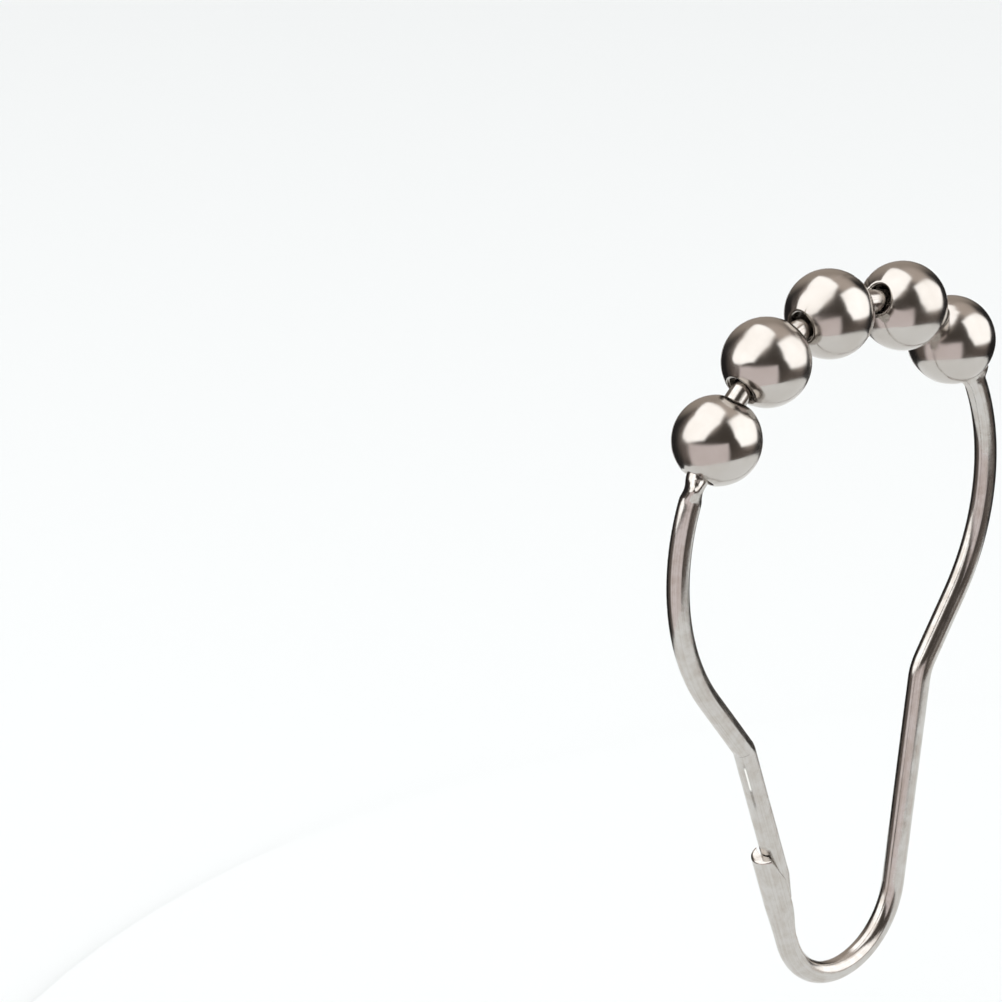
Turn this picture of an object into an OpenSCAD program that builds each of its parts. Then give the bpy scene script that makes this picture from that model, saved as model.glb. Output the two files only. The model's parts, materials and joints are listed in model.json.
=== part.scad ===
// Shower curtain hook: one bent wire with a pressed latch trough and five hollow roller balls.
// Millimetres. X is square to the plane of the hook, Y runs from the front leg to the back leg, Z up.
// The origin is the middle of the round head.

/* [Wire] */
// Diameter of the steel wire
wire_d = 2.3; // [2:0.05:2.5]
// Length over which the front leg narrows to its tip
tip_len = 3; // [2:0.1:4]
// Diameter of the wire at the tip
tip_d = 1.5; // [1.2:0.05:1.8]

/* [Head and neck] */
// Radius of the round head, to the middle of the wire
head_r = 22.8; // [21:0.1:26]
// Straight shoulder between the head and the front kink
front_shoulder = 8.6; // [7:0.1:10]
// Straight shoulder between the head and the back bend
back_shoulder = 8.3; // [7:0.1:10]
// Bend radius of the front kink, to the middle of the wire
kink_r = 2.5; // [2:0.1:4]
// Bend radius of the back bend, to the middle of the wire
bend_r = 5; // [3:0.1:8]
// Depth of the mark that the bending pin leaves inside the kink
pin_mark = 0.08; // [0.04:0.01:0.15]

/* [Curtain loop] */
// Radius of the loop that carries the curtain, to the middle of the wire
loop_r = 8.3; // [7.5:0.1:9.5]
// Middle of the loop below the middle of the head
loop_drop = 41.85; // [39:0.05:48]
// Middle of the loop behind the middle of the head
loop_shift = 1.85; // [1:0.05:3]
// Lean of the front leg and its trough from the vertical, in degrees
front_lean = 19; // [17:0.5:20.5]
// Lean of the back leg from the vertical, in degrees
back_lean = 8.6; // [7:0.2:10]

/* [Latch trough] */
// Outer width of the pressed trough
trough_w = 3.44; // [3.2:0.02:3.8]
// Length of the trough from its step to its square-cut end
trough_len = 10.9; // [10:0.1:12]
// Straight wire between the curtain loop and the step
trough_start = 0.8; // [0.4:0.1:1.5]
// Length over which the wire widens into the trough
trough_taper = 5; // [4:0.1:6]
// Thickness of metal under the bed of the trough
trough_base = 1.1; // [0.9:0.05:1.3]
// Radius of the pressed bed
bed_r = 2; // [1.8:0.05:2.3]
// Height of the trough's lips past the middle of the wire
lip_h = 0.65; // [0.4:0.05:0.8]
// How far down the trimmed lip is cut away at the trough's end
lip_cut_len = 2.1; // [1.5:0.1:3]
// How far round the trough the lip cut reaches over that length
lip_cut_w = 0.7; // [0.6:0.05:0.9]
// Place of the lip cut round the trough, in degrees from its outer face
lip_cut_angle = 56; // [50:1:62]
// Length of the front leg that lies in the trough
latch_overlap = 6.5; // [5:0.1:8]
// Play between the leg and the bed
latch_play = 0.1; // [0.08:0.01:0.2]

/* [Bead stops] */
// Width across the pinched ears that hold the balls on
ear_w = 3.6; // [3.4:0.05:4]
// Length of an ear along the wire
ear_len = 2; // [1.6:0.1:2.4]
// Thickness of the ears
ear_t = 1.4; // [1.2:0.05:1.5]
// Turn of the ears round the wire, from square to the hook's plane towards the outside of the head
ear_turn = 50; // [0:5:90]
// Thickness left between the two punched flats
flat_t = 1.9; // [1.6:0.05:1.95]
// Radius of the rounded punch that makes the flats
punch_r = 2.5; // [2:0.1:4]
// Radius of the punch nick outside each stop
nick_r = 0.5; // [0.3:0.05:0.7]
// Depth of the punch nick
nick_depth = 0.18; // [0.1:0.02:0.25]
// Free space between a stop and the ball beside it
stop_gap = 0.35; // [0.3:0.05:0.6]

/* [Roller balls] */
// Diameter of a ball
ball_d = 9; // [8.6:0.05:9.4]
// Wall of the hollow ball
ball_wall = 0.6; // [0.4:0.05:0.9]
// Room between the wire and a ball's hole, on each side
hole_play = 0.3; // [0.25:0.01:0.4]
// Width of the seam that runs from hole to hole
seam_w = 0.14; // [0.08:0.02:0.2]
// Depth of the seam
seam_depth = 0.1; // [0.05:0.01:0.15]
// Place of the first ball, in degrees in front of the top of the head
row_start = 51.7; // [48:0.1:54]
// Space between balls that lie against each other
ball_gap = 0.35; // [0.3:0.05:0.6]
// Space between the third ball and the fourth, where the row has drifted apart
wide_gap = 2.05; // [0.5:0.05:2.5]

/* [Hidden] */
$fn = 64;

// Space between neighbouring balls, from the front of the row to its back
ball_gaps = [ball_gap, ball_gap, wide_gap, ball_gap];
// How far each ball is turned on the wire, which places its seam
ball_turns = [-62, 190, 20, -60, -24];
// How far each ball rides towards the outside of the head, as a share of the play of its holes
ball_lifts = [-0.7, 0.5, 0.7, 0.5, 0.3];
nickel = [0.78, 0.76, 0.73];
wire_r = wire_d / 2;
// Bands that close the joints between runs of wire stand this far proud of it
band_h = 0.01;
band_len = 0.3;
// A ball's rounded edge stays this much inside its wall on both sides
edge_sink = 0.005;
// Reach of a ball's rounded edge into its hole, which the hole then cuts straight
hole_land = 0.03;
// Extra length of a cutting tool past the metal that it cuts
past = 1;

// Places in the plane of the hook are [depth, height] pairs
function unit(v) = v / norm(v);
function polar(r, a) = r * [cos(a), sin(a)];
function heading(v) = atan2(v[1], v[0]);
// First point on the line from p along the unit vector d that lies r from the origin
function reach(p, d, r) = p - d * (sqrt(pow(p * d, 2) - p * p + r * r) + p * d);
// Where a line from p touches the head, as an angle seen from the middle of the head
function touch(p, side) = heading(p) + side * acos(head_r / norm(p));
// Angle that a length s of the head takes
function head_angle(s) = s / head_r * 180 / PI;
// Length of each leg that a bend of radius r takes up, and the middle of that bend;
// d1 and d2 are the unit directions away from the corner p
function bend_cut(d1, d2, r) = r / tan(acos(d1 * d2) / 2);
function bend_centre(p, d1, d2, r) = p + unit(d1 + d2) * r / sin(acos(d1 * d2) / 2);

// Curtain loop and the two legs that run up from it
loop_centre = [loop_shift, -loop_drop];
front_out = -polar(1, front_lean);
front_up = polar(1, 90 + front_lean);
back_out = polar(1, -back_lean);
back_up = polar(1, 90 - back_lean);
trough_foot = loop_centre + loop_r * front_out;
back_foot = loop_centre + loop_r * back_out;
trough_top = trough_start + trough_len;

// The front leg lies on the bed of the trough, so its line is set in from the trough's line
leg_inset = trough_base + latch_play;
leg_foot = trough_foot - leg_inset * front_out;
leg_end = leg_foot + (trough_top - latch_overlap) * front_up;

// Corners of the neck, the places where the shoulders touch the head, and the two bends
front_corner = reach(leg_foot, front_up, norm([head_r, front_shoulder]));
back_corner = reach(back_foot, back_up, norm([head_r, back_shoulder]));
front_touch = touch(front_corner, -1) + 360;
back_touch = touch(back_corner, 1);
front_dir = unit(polar(head_r, front_touch) - front_corner);
back_dir = unit(polar(head_r, back_touch) - back_corner);
kink_cut = bend_cut(front_dir, -front_up, kink_r);
kink_centre = bend_centre(front_corner, front_dir, -front_up, kink_r);
kink_low = front_corner - kink_cut * front_up;
kink_high = front_corner + kink_cut * front_dir;
back_cut = bend_cut(back_dir, -back_up, bend_r);
back_centre = bend_centre(back_corner, back_dir, -back_up, bend_r);
bend_low = back_corner - back_cut * back_up;
bend_high = back_corner + back_cut * back_dir;

// Rounded edge of a ball's wall at its hole: its distance from the ball's axis and from its middle
hole_r = wire_r + hole_play;
edge_r = hole_r + ball_wall / 2 - hole_land;
edge_z = sqrt(pow((ball_d - ball_wall) / 2, 2) - edge_r * edge_r);
half_len = edge_z + ball_wall / 2 - edge_sink;
// A ball is centred where the bent wire runs through the middle of its two holes
row_r = sqrt(head_r * head_r - edge_z * edge_z);
last_ball = len(ball_gaps);
function pitch(gap) = 2 * asin((ball_d + gap) / 2 / row_r);
function ball_place(i) = i == 0 ? 90 + row_start : ball_place(i - 1) - pitch(ball_gaps[i - 1]);
stop_offset = head_angle(half_len + stop_gap + ear_len / 2);

// Turns the plane of the hook upright, so that depth runs along Y and height along Z
module hook_plane() {
    rotate([90, 0, 90]) children();
}

// Moves to a place in the plane of the hook and turns the x axis to an angle
module at(place, angle) {
    translate([place[0], place[1], 0])
    rotate([0, 0, angle])
    children();
}

module straight_run(from, to) {
    at(from, heading(to - from))
    rotate([0, 90, 0])
    cylinder(r = wire_r, h = norm(to - from));
}

module bent_run(centre, r, from, to) {
    at(centre, from)
    rotate_extrude(angle = to - from)
    translate([r, 0])
    circle(r = wire_r);
}

// Closes the joint between two runs with a band a hair wider than the wire
module band(place, direction) {
    at(place, heading(direction))
    rotate([0, 90, 0])
    cylinder(r = wire_r + band_h, h = band_len, center = true);
}

// Round head with the straight shoulders that lead to the neck
module head() {
    bent_run([0, 0], head_r, back_touch, front_touch);
    straight_run(kink_high, polar(head_r, front_touch));
    straight_run(bend_high, polar(head_r, back_touch));
    band(polar(head_r, front_touch), front_dir);
    band(polar(head_r, back_touch), back_dir);
}

// Front leg with its kink and its narrowed tip
module front_leg() {
    difference() {
        union() {
            bent_run(kink_centre, kink_r, heading(kink_low - kink_centre), heading(kink_high - kink_centre));
            band(kink_low, front_up);
            band(kink_high, front_dir);
            straight_run(leg_end + tip_len * front_up, kink_low);
        }
        at(kink_centre, 0)
        cylinder(r = kink_r - wire_r + pin_mark, h = wire_d + 2 * past, center = true);
    }
    at(leg_end, 90 + front_lean)
    rotate([0, 90, 0])
    cylinder(r1 = tip_d / 2, r2 = wire_r, h = tip_len + band_len);
}

// Back leg, the curtain loop and the short straight that meets the trough
module back_leg_and_loop() {
    bent_run(back_centre, bend_r, heading(bend_high - back_centre), heading(bend_low - back_centre));
    band(bend_high, back_dir);
    band(bend_low, back_up);
    straight_run(back_foot, bend_low);
    band(back_foot, back_up);
    bent_run(loop_centre, loop_r, 180 + front_lean, 360 - back_lean);
    band(trough_foot, front_up);
    straight_run(trough_foot, trough_foot + trough_start * front_up);
}

// Pressed trough: x runs up the trough from its foot, y points away from the leg, z is the hook's X
module latch_trough() {
    axis_y = wire_r - trough_w / 2;
    taper_angle = atan(axis_y / trough_taper);
    bed_y = wire_r - trough_base - bed_r;
    bed_start = trough_top - latch_overlap;
    at(trough_foot, 90 + front_lean)
    difference() {
        union() {
            translate([trough_start - band_len, 0, 0])
            rotate([0, 0, taper_angle])
            rotate([0, 90, 0])
            cylinder(r1 = wire_r - 4 * band_h, r2 = trough_w / 2 - 2 * band_h, h = trough_taper + band_len);
            translate([trough_start + trough_taper - band_len, axis_y, 0])
            rotate([0, 90, 0])
            cylinder(d = trough_w, h = trough_len - trough_taper + band_len);
        }
        // Lips trimmed flat
        translate([trough_start, -lip_h - trough_w, -trough_w])
        cube([trough_len + past, trough_w, 2 * trough_w]);
        // Bed for the leg, with a rounded run-out at its foot
        translate([bed_start, bed_y, 0]) {
            sphere(r = bed_r);
            rotate([0, 90, 0])
            cylinder(r = bed_r, h = trough_len + past);
        }
        // Slanting cut across one lip at the open end
        translate([trough_top, axis_y, 0])
        rotate([90 + lip_cut_angle, 0, 0])
        lip_cutter();
    }
}

module lip_cutter() {
    linear_extrude(height = 2 * trough_w, center = true)
    polygon([
        [past, 0],
        [0, 0],
        [-2 * lip_cut_len, 2 * lip_cut_w],
        [past, 2 * lip_cut_w]
    ]);
}

// Moves to a stop on the head's wire: y runs along the wire and z towards an ear
module at_stop(angle) {
    at(polar(head_r, angle), angle)
    rotate([0, ear_turn, 0])
    children();
}

// Punched flats of a stop and the nick beside them, on the side away from the balls
module stop_cuts(angle, outward) {
    at_stop(angle) {
        for (side = [-1, 1])
            translate([side * (flat_t / 2 + punch_r), 0, 0])
            cylinder(r = punch_r, h = wire_d + 2 * past, center = true);
        translate([0, outward * (ear_len / 2 + nick_r), wire_r - nick_depth + nick_r])
        sphere(r = nick_r);
    }
}

// Ears that the punch squeezes out to both sides of the wire
module stop_ears(angle) {
    at_stop(angle)
    for (side = [-1, 1])
        translate([0, 0, side * (ear_w - ear_len) / 2])
        rotate([0, 90, 0])
        cylinder(d = ear_len, h = ear_t, center = true);
}

module wire_hook() {
    front_stop = ball_place(0) + stop_offset;
    back_stop = ball_place(last_ball) - stop_offset;
    color(nickel)
    hook_plane() {
        difference() {
            head();
            stop_cuts(front_stop, 1);
            stop_cuts(back_stop, -1);
        }
        stop_ears(front_stop);
        stop_ears(back_stop);
        front_leg();
        back_leg_and_loop();
        latch_trough();
    }
}

// Half section of a ball's wall: x runs away from the ball's axis, and the edges at the holes are round
module ball_section() {
    intersection() {
        difference() {
            circle(d = ball_d);
            circle(d = ball_d - 2 * ball_wall);
        }
        polygon([
            [0, 0],
            [2 * edge_r, 2 * edge_z],
            [ball_d, 2 * edge_z],
            [ball_d, -2 * edge_z],
            [2 * edge_r, -2 * edge_z]
        ]);
    }
    for (end = [-1, 1])
        translate([edge_r, end * edge_z])
        circle(r = ball_wall / 2 - edge_sink);
}

// Hollow ball pressed from strip, with a hole through it and the seam where the strip's ends meet
module roller_ball(i) {
    color(nickel)
    hook_plane()
    at(polar(row_r + hole_play * ball_lifts[i], ball_place(i)), ball_place(i))
    rotate([90, 0, 0])
    rotate([0, 0, ball_turns[i]])
    difference() {
        rotate_extrude()
        ball_section();
        cylinder(r = hole_r, h = ball_d, center = true);
        difference() {
            translate([0, -seam_w / 2, -ball_d / 2])
            cube([ball_d, seam_w, ball_d]);
            sphere(r = ball_d / 2 - seam_depth);
        }
    }
}

wire_hook();
roller_ball(0);  // roller_ball_1
roller_ball(1);  // roller_ball_2
roller_ball(2);  // roller_ball_3
roller_ball(3);  // roller_ball_4
roller_ball(4);  // roller_ball_5
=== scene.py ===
"""Dresses a shower curtain hook: nickel-plated wire, five hollow roller balls and a pale studio."""
import json
import math
from types import SimpleNamespace

import bpy
from mathutils import Matrix, Vector


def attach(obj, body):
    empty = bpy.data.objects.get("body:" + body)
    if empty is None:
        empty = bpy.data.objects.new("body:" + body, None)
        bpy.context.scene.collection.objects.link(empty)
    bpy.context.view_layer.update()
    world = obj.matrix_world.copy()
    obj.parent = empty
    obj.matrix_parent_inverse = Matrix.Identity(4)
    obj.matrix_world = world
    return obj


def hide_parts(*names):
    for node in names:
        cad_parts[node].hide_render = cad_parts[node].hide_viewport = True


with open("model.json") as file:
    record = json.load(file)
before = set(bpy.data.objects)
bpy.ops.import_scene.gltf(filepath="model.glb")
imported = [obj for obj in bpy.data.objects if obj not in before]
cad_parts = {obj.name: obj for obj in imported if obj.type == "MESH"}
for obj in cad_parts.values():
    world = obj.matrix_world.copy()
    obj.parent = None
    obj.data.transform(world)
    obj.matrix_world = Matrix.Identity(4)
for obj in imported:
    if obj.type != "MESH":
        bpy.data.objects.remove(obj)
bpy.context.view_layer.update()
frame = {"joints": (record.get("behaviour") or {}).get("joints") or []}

bl_info = {
    "name": "Shower Curtain Hook",
    "version": (1, 0, 0),
    "blender": (4, 5, 0),
    "location": "View3D > Sidebar > Hook",
    "description": "Nickel-plated wire hook with five hollow roller balls",
    "category": "Object",
}

MM = 0.001

# Sizes and depths of the patterns in the plate, in millimetres
BALL_BLOOM = 3.5
BALL_PITS = 0.22
RIPPLE_DEPTH = 0.006
PIT_DEPTH = 0.0006
WIRE_BLOOM = 1.6
WIRE_GRAIN = 0.18
DIE_LINE = (12, 0.16, 0.16)
STREAK_DEPTH = 0.006
GRAIN_DEPTH = 0.0035
# Bands across the front leg that hold the painted highlight and painted shade: middle, reach and soft edge,
# in millimetres
FRONT_SIDE = (-1.5, 1.0, 0.3)
SHADED_CREASE_SIDE = (0.7, 0.35, 0.3)
# Ends of the painted highlight line, and the run down the leg of the painted shade along its edge, in
# millimetres
LINE_INSET = 0.3
LINE_FADE = 0.5
EDGE_SHIFT = 1.0
EDGE_OVERRUN = 0.6
EDGE_FADE = 1.2


def srgb(code):
    """Linear red, green and blue of an sRGB hex colour such as DAD6CF."""
    parts = [int(code[i:i + 2], 16) / 255 for i in (0, 2, 4)]
    return [c / 12.92 if c <= 0.04045 else ((c + 0.055) / 1.055) ** 2.4 for c in parts]


def rgba(colour):
    return (*colour, 1.0)


def add_node(tree, kind, settings=None, inputs=None):
    """Adds a node, sets its properties, and sets or links its inputs."""
    node = tree.nodes.new(kind)
    for name, value in (settings or {}).items():
        setattr(node, name, value)
    for name, value in (inputs or {}).items():
        if isinstance(value, bpy.types.NodeSocket):
            tree.links.new(value, node.inputs[name])
        else:
            node.inputs[name].default_value = value
    return node


def new_material(name):
    """A material with only its output node, its node tree, and that node."""
    material = bpy.data.materials.new(name)
    material.use_nodes = True
    tree = material.node_tree
    tree.nodes.clear()
    return material, tree, add_node(tree, "ShaderNodeOutputMaterial")


def per_mm(length):
    """Texture scale at which a pattern repeats about once in that many millimetres."""
    return 1 / (length * MM)


def noise(tree, place, scale, detail, roughness=0.5):
    """A share between zero and one that wanders over the surface like clouds."""
    return add_node(tree, "ShaderNodeTexNoise", None, {
        "Vector": place, "Scale": scale, "Detail": detail, "Roughness": roughness}).outputs["Fac"]


def maths(tree, operation, *values):
    """The result of one operation on numbers or sockets."""
    return add_node(tree, "ShaderNodeMath", {"operation": operation}, dict(enumerate(values))).outputs[0]


def even(tree, value, low, high, start=0.0, end=1.0):
    """Runs evenly from start to end as the value goes from low to high."""
    return add_node(tree, "ShaderNodeMapRange", None, {
        "Value": value, "From Min": low, "From Max": high, "To Min": start, "To Max": end}).outputs[0]


def eased(tree, value, low, high):
    """Runs softly from zero to one as the value goes from low to high."""
    return add_node(tree, "ShaderNodeMapRange", {"interpolation_type": "SMOOTHSTEP"}, {
        "Value": value, "From Min": low, "From Max": high}).outputs[0]


def mixed(tree, share, first, second):
    """The first colour where the share is zero, turning into the second where it is one."""
    return add_node(tree, "ShaderNodeMix", {"data_type": "RGBA"}, {
        0: share, 6: first, 7: second}).outputs[2]


def relief(tree, height, depth, below=None):
    """Normals of a relief of that depth in millimetres, laid over other normals."""
    inputs = {"Strength": 1.0, "Distance": depth * MM, "Height": height}
    if below is not None:
        inputs["Normal"] = below
    return add_node(tree, "ShaderNodeBump", None, inputs).outputs[0]


def plated(tree, output, colour, roughness, normal):
    """Puts metal of that colour, roughness and relief on a material's output."""
    shader = add_node(tree, "ShaderNodeBsdfPrincipled", None, {
        "Base Color": colour, "Metallic": 1.0, "Roughness": roughness, "Normal": normal})
    tree.links.new(shader.outputs[0], output.inputs["Surface"])


def size(name, description, default):
    """A length that the user may change, whose default is given here in millimetres."""
    return bpy.props.FloatProperty(
        name=name, description=description, subtype="DISTANCE", unit="LENGTH", precision=5,
        default=default * MM)


def lean(name, description, default):
    """An angle that the user may change, whose default is given here in degrees."""
    return bpy.props.FloatProperty(
        name=name, description=description, subtype="ANGLE", unit="ROTATION", default=math.radians(default))


def fraction(name, description, default):
    """A number between zero and one that the user may change."""
    return bpy.props.FloatProperty(name=name, description=description, min=0, max=1, default=default)


def tint(name, description, code):
    """A colour that the user may change, whose default is given here as an sRGB hex code."""
    return bpy.props.FloatVectorProperty(
        name=name, description=description, subtype="COLOR", size=3, min=0, max=1, default=srgb(code))


def worked(group):
    """A group's values as the making uses them: lengths in millimetres and angles in degrees."""
    factors = {"LENGTH": 1 / MM, "ROTATION": math.degrees(1)}
    values = {}
    for name in group.__annotations__:
        value = getattr(group, name)
        unit = getattr(group.bl_rna.properties[name], "unit", "NONE")
        values[name] = value * factors[unit] if unit in factors else value
    return SimpleNamespace(**values)


class HookWireSettings(bpy.types.PropertyGroup):
    """Sizes of the bent wire, its latch trough and its two bead stops."""

    wire_d: size("Wire", "Diameter of the wire", 2.3)
    tip_len: size("Tip", "Length over which the front leg narrows", 3.0)
    tip_d: size("Tip end", "Diameter at the front leg's tip", 1.5)
    head_r: size("Head", "Radius of the round head", 22.8)
    front_shoulder: size("Front shoulder", "Straight between the head and the kink", 8.6)
    back_shoulder: size("Back shoulder", "Straight between the head and the back bend", 8.3)
    kink_r: size("Kink", "Radius of the front kink", 2.5)
    bend_r: size("Back bend", "Radius of the back bend", 5.0)
    pin_mark: size("Pin mark", "Depth of the mark inside the kink", 0.08)
    loop_r: size("Loop", "Radius of the curtain loop", 8.3)
    loop_drop: size("Loop drop", "Loop's middle below the head's", 41.85)
    loop_shift: size("Loop shift", "Loop's middle behind the head's", 1.85)
    front_lean: lean("Front lean", "Lean of the front leg", 19)
    back_lean: lean("Back lean", "Lean of the back leg", 8.6)
    trough_w: size("Trough", "Outer width of the trough", 3.44)
    trough_len: size("Trough length", "Length of the trough", 10.9)
    trough_start: size("Trough start", "Straight wire below the trough", 0.8)
    trough_taper: size("Trough taper", "Length over which the wire widens", 5.0)
    trough_base: size("Trough base", "Metal under the bed", 1.1)
    bed_r: size("Bed", "Radius of the bed", 2.0)
    lip_h: size("Lips", "Height of the lips past the wire's middle", 0.65)
    ramp: bpy.props.FloatProperty(
        name="Ramp", description="Length of the ramp up to the trimmed lips, for each unit of its height",
        min=0, max=2, default=1.9)
    lip_cut_len: size("Lip cut", "Length of the slanting cut across one lip", 2.1)
    lip_cut_w: size("Lip cut width", "Reach of that cut round the trough", 0.7)
    lip_cut_angle: lean("Lip cut place", "Place of that cut round the trough", 56)
    latch_overlap: size("Latch overlap", "Length of the front leg in the trough", 6.5)
    latch_play: size("Latch play", "Play between leg and bed", 0.1)
    ear_w: size("Ears", "Width across a stop's ears", 3.6)
    ear_len: size("Ear length", "Length of a stop", 2.0)
    ear_turn: lean("Ear turn", "Turn of the ears round the wire", 50)
    flat_t: size("Flats", "Thickness between a stop's flats", 1.9)
    nick_r: size("Nick", "Radius of the nick beside a stop", 0.5)
    nick_depth: size("Nick depth", "Depth of the nick", 0.18)
    stop_gap: size("Stop gap", "Free space between a stop and its ball", 0.35)


class HookBallSettings(bpy.types.PropertyGroup):
    """Sizes of the hollow roller balls."""

    ball_d: size("Ball", "Diameter of a ball", 9.0)
    ball_wall: size("Wall", "Wall of the hollow ball", 0.6)
    hole_play: size("Hole play", "Room round the wire in a ball's hole", 0.3)
    seam_w: size("Seam", "Width of the seam", 0.14)
    seam_depth: size("Seam depth", "Depth of the seam", 0.06)
    crease_depth: size("Creases", "Depth of the creases round the holes", 0.018)
    creases: bpy.props.IntProperty(
        name="Crease count", description="Creases round each hole", default=13)


class HookPlateSettings(bpy.types.PropertyGroup):
    """Colours and surface sizes of the nickel plate, and of the painted highlight and painted shade on the
    front leg.
    """

    nickel: tint("Nickel", "Colour of clean nickel plate", "C9C6C2")
    warm_nickel: tint("Warm nickel", "Colour where the plate has yellowed a little", "B8B0A8")
    # The streak on the front leg is a painted highlight with painted shade along its edge, and the kink's
    # crease is painted shade
    painted_highlight: tint("Scraped metal", "Colour of the line that the bending tool scraped", "FAF8F4")
    painted_shade: tint("Creased metal", "Colour of the tool's crease and of the line's dark edge", "615B56")
    ball_roughness: fraction("Ball roughness", "Roughness of the barrel-polished balls", 0.17)
    wire_roughness: fraction("Wire roughness", "Roughness of the drawn wire", 0.16)
    ripple: size("Ripple", "Width of the press ripple on the balls", 2.4)
    # Size and place of the painted highlight streak down the front leg, and width of the painted shade in
    # the kink's crease
    highlight_len: size("Scrape", "Length of the line that the bending tool scraped down the front leg", 3.0)
    highlight_w: size("Scrape width", "Width of that line", 0.18)
    highlight_start: size("Scrape start", "Distance from the kink to that line", 1.2)
    highlight_x: size("Scrape place", "Distance of that line from the plane of the hook", 0.56)
    crease_shade_w: size("Crease", "Width of the crease across the inside of the kink", 0.09)


class HookStageSettings(bpy.types.PropertyGroup):
    """The photograph's view and the studio."""

    azimuth: lean("Azimuth", "Camera's turn from the front of the hook towards its side", 44.737)
    elevation: lean("Elevation", "Camera's height above the level", 22.522)
    target: bpy.props.FloatVectorProperty(
        name="Target", description="Place that the camera looks at",
        subtype="TRANSLATION", unit="LENGTH", size=3, default=(-0.02945, -0.01762, -0.00113))
    distance: size("Distance", "Camera's distance from its target", 700)
    lens: bpy.props.FloatProperty(
        name="Lens", description="Focal length on a sensor 36 mm wide",
        subtype="DISTANCE_CAMERA", unit="CAMERA", default=249.17)
    floor_drop: size("Floor drop", "Floor below the middle of the hook's head", 75)
    floor_radius: size("Floor radius", "Radius of the whole floor", 600)
    mirrored_radius: size("Mirrored radius", "Radius of the floor's lit part, which the metal reflects", 130)
    mirrored_centre: bpy.props.FloatVectorProperty(
        name="Mirrored centre", description="Middle of the lit part of the floor",
        subtype="TRANSLATION", unit="LENGTH", size=2, default=(0.03, 0.02))
    soft_box_strength: bpy.props.FloatProperty(
        name="Soft box strength", description="Brightness of both soft boxes",
        min=0, default=1.9)


def towards_camera(stage):
    """Unit direction from the target to the camera."""
    flat = math.cos(stage.elevation)
    return Vector((
        math.sin(stage.azimuth) * flat, -math.cos(stage.azimuth) * flat, math.sin(stage.elevation)))


def bright_ball_plate(plate):
    """Bright nickel on a ball pressed from steel sheet and barrel-polished: a near mirror with a faint
    ripple from the press, a cloudy bloom in places and fine pits."""
    material, tree, output = new_material("bright_nickel_pressed_ball")
    place = add_node(tree, "ShaderNodeTexCoord").outputs["Object"]
    ripple = noise(tree, place, per_mm(plate.ripple), 1.0)
    bloom = noise(tree, place, per_mm(BALL_BLOOM), 4.0)
    pits = noise(tree, place, per_mm(BALL_PITS), 2.0)
    colour = mixed(tree, bloom, rgba(plate.nickel), rgba(plate.warm_nickel))
    roughness = even(tree, bloom, 0.35, 0.7, plate.ball_roughness * 0.7, plate.ball_roughness * 1.5)
    waves = relief(tree, ripple, RIPPLE_DEPTH)
    plated(tree, output, colour, roughness, relief(tree, pits, PIT_DEPTH, waves))
    return material


def painted_light_on_leg(tree, along, plate, path):
    """Shares of painted highlight in a bright streak down the front leg, and of painted shade along its edge
    and in the crease inside the kink.
    """
    runs = path.trough_runs + path.other_runs
    leg_start = sum(run_length(run) for run in runs[:-1])
    kink_middle = leg_start - run_length(runs[-2]) / 2
    highlight_middle = leg_start + plate.highlight_start + plate.highlight_len / 2
    parts = add_node(tree, "ShaderNodeSeparateXYZ", None, {0: along}).outputs

    def near(value, middle, reach, edge):
        """One where the value lies within reach of the middle, fading to zero over the edge, in mm."""
        off = maths(tree, "ABSOLUTE", maths(tree, "SUBTRACT", value, middle * MM))
        return eased(tree, off, (reach + edge) * MM, reach * MM)

    def on_front(down_wire, sideways):
        """One where both shares are one, on the front side of the wire."""
        return maths(tree, "MULTIPLY", maths(tree, "MULTIPLY", front, down_wire), sideways)

    front = near(parts["Y"], *FRONT_SIDE)
    # Painted highlight: a bright line down the front of the leg
    bright = on_front(
        near(parts["X"], highlight_middle, plate.highlight_len / 2 - LINE_INSET, LINE_FADE),
        near(parts["Z"], plate.highlight_x, plate.highlight_w / 4, plate.highlight_w / 2))
    # Painted shade along the edge of that line, running further down the leg
    shade_edge = on_front(
        near(parts["X"], highlight_middle + EDGE_SHIFT, plate.highlight_len / 2 + EDGE_OVERRUN, EDGE_FADE),
        near(parts["Z"], plate.highlight_x, plate.highlight_w / 3, plate.highlight_w * 0.7))
    # Painted shade in the crease across the inside of the kink
    crease = on_front(
        near(parts["X"], kink_middle, plate.crease_shade_w / 4, plate.crease_shade_w / 2),
        near(parts["Z"], *SHADED_CREASE_SIDE))
    return bright, maths(tree, "MAXIMUM", shade_edge, crease)


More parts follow.
